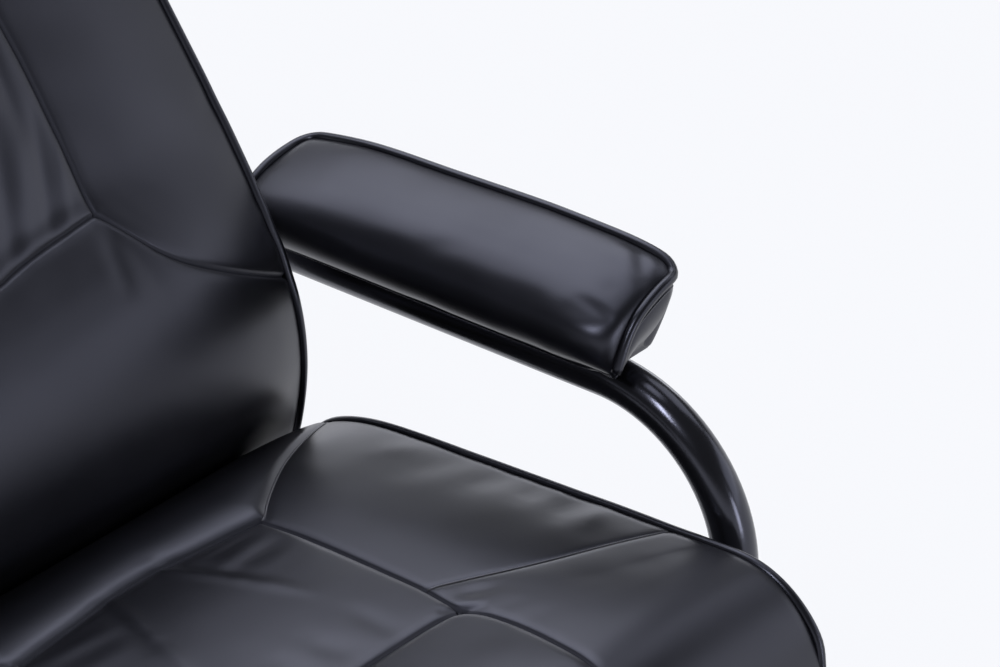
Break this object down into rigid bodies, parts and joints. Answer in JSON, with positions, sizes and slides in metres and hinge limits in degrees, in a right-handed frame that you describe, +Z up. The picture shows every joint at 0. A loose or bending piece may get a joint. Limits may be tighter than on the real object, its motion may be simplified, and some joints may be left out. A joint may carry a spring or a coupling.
{
  "type": "massage recliner with footstool",
  "caption": "Swivelling massage armchair with padded back, seat and tube arms on a ring base, recline lever and handset, with a matching free-standing footstool.",
  "frame": {"origin": "floor under the middle of the box around the chair and its footstool at rest", "axes": "+Z up, +Y towards the rear of the chair, +X to the sitter's left; the footstool stands in front, towards -Y"},
  "size_m": [0.7748, 1.4502, 1.0097],
  "materials": {
    "leather": "satin",
    "black_paint": "gloss",
    "bright_steel": "satin",
    "plywood": "matte",
    "black_plastic": "satin",
    "nylon": "satin",
    "grey_plastic": "satin",
    "red_plastic": "satin"
  },
  "bodies": {
    "base": {"base_glide_1": "black_plastic", "base_glide_2": "black_plastic", "base_glide_3": "black_plastic", "base_glide_4": "black_plastic", "base_hub": "black_paint", "base_ring": "black_paint", "base_spider": "black_paint", "swivel_bush": "nylon"},
    "back": {"back_post_left": "black_paint", "back_post_right": "black_paint", "back_cross": "black_paint", "back_board": "plywood", "back_cover": "leather", "back_cushion": "leather", "lumbar_motor_left": "black_plastic", "lumbar_motor_right": "black_plastic"},
    "strut_rod": {"strut_rod": "bright_steel"},
    "lever": {"recline_lever": "black_paint", "lever_grip": "black_plastic"},
    "handset": {"handset_case": "black_plastic"},
    "button_power": {"button_power": "red_plastic"},
    "button_strength": {"button_strength": "grey_plastic"},
    "button_mode": {"button_mode": "grey_plastic"},
    "lumbar_weight_left": {"lumbar_weight_left": "bright_steel"},
    "lumbar_weight_right": {"lumbar_weight_right": "bright_steel"},
    "seat_weight_left": {"seat_weight_left": "bright_steel"},
    "seat_weight_right": {"seat_weight_right": "bright_steel"},
    "stool": {"stool_board": "plywood", "stool_cushion": "leather", "stool_glide_1": "black_plastic", "stool_glide_2": "black_plastic", "stool_glide_3": "black_plastic", "stool_glide_4": "black_plastic", "stool_post": "black_paint", "stool_ring": "black_paint", "stool_spider": "black_paint"},
    "seat": {"arm_board_left": "plywood", "arm_board_right": "plywood", "arm_pad_left": "leather", "arm_pad_right": "leather", "arm_tube_left": "black_paint", "arm_tube_right": "black_paint", "control_box": "black_plastic", "handset_pocket": "leather", "hinge_bracket_left": "black_paint", "hinge_bracket_right": "black_paint", "hinge_pin_left": "bright_steel", "hinge_pin_right": "bright_steel", "power_inlet": "bright_steel", "seat_board": "plywood", "seat_cross_front": "black_paint", "seat_cross_rear": "black_paint", "seat_cushion": "leather", "seat_motor_left": "black_plastic", "seat_motor_right": "black_plastic", "seat_rail_left": "black_paint", "seat_rail_right": "black_paint", "strut_cylinder": "black_paint", "swivel_column": "bright_steel", "swivel_plate": "black_paint"}
  },
  "joints": [
    {"name": "swivel", "type": "hinge", "parent": "base", "child": "seat", "pos_m": [0, 0.21562, 0], "axis": [0, 0, 1], "continuous": true},
    {"name": "recline", "type": "hinge", "parent": "seat", "child": "back", "pos_m": [0, 0.50562, 0.375], "axis": [-1, 0, 0], "range_deg": [0, 27]},
    {"name": "strut_slide", "type": "slide", "parent": "seat", "child": "strut_rod", "axis": [0, 1, 0], "range_m": [-0.05326, 0.0005]},
    {"name": "lever_lift", "type": "hinge", "parent": "seat", "child": "lever", "pos_m": [-0.235, 0.19362, 0.3291], "axis": [-1, 0, 0], "range_deg": [0, 25], "stiffness_Nm_per_rad": 0.8},
    {"name": "handset_lift", "type": "slide", "parent": "seat", "child": "handset", "axis": [0, 0, 1], "range_m": [0, 0.086]},
    {"name": "stool_slide", "type": "slide", "parent": "base", "child": "stool", "axis": [0, -1, 0], "range_m": [0, 0.3]},
    {"name": "press_power", "type": "slide", "parent": "handset", "child": "button_power", "axis": [1, 0, 0], "range_m": [0, 0.0012], "stiffness_N_per_m": 400},
    {"name": "press_strength", "type": "slide", "parent": "handset", "child": "button_strength", "axis": [1, 0, 0], "range_m": [0, 0.0012], "stiffness_N_per_m": 400},
    {"name": "press_mode", "type": "slide", "parent": "handset", "child": "button_mode", "axis": [1, 0, 0], "range_m": [0, 0.0012], "stiffness_N_per_m": 400},
    {"name": "lumbar_spin_left", "type": "hinge", "parent": "back", "child": "lumbar_weight_left", "pos_m": [0.1, 0.46358, 0.53086], "axis": [0, -0.9932, 0.1163], "continuous": true},
    {"name": "lumbar_spin_right", "type": "hinge", "parent": "back", "child": "lumbar_weight_right", "pos_m": [-0.1, 0.46358, 0.53086], "axis": [0, -0.9932, 0.1163], "continuous": true},
    {"name": "seat_spin_left", "type": "hinge", "parent": "seat", "child": "seat_weight_left", "pos_m": [0.115, 0.17562, 0.3419], "axis": [0, 0, 1], "continuous": true},
    {"name": "seat_spin_right", "type": "hinge", "parent": "seat", "child": "seat_weight_right", "pos_m": [-0.115, 0.17562, 0.3419], "axis": [0, 0, 1], "continuous": true}
  ],
  "couplings": [
    {"joint": "strut_slide", "follows": "recline", "m_per_rad": -0.11196}
  ]
}
